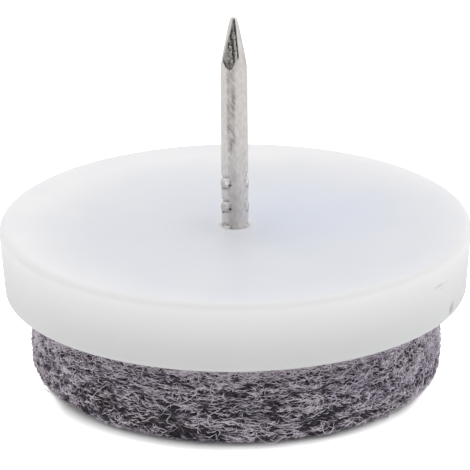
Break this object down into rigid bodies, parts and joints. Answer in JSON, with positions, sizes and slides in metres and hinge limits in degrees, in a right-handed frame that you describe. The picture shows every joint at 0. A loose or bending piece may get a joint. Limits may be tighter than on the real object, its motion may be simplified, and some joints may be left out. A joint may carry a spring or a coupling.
{
  "type": "nail-on furniture glide",
  "caption": "Round moulded plastic glide with a thick felt pad under it and a wire nail standing up from its middle, driven into the end of a wooden leg.",
  "frame": {"origin": "middle of the felt's underside, on the nail's axis", "axes": "+Z along the nail, from the felt to the point; the glide stands on its felt, upside down from how it hangs on a leg"},
  "size_m": [0.028, 0.028, 0.0216],
  "materials": {
    "white_polyethylene": "satin",
    "plated_wire": "satin",
    "grey_felt": "matte"
  },
  "bodies": {
    "root": {"glide_body": "white_polyethylene", "nail": "plated_wire", "felt_pad": "grey_felt"}
  },
  "joints": []
}
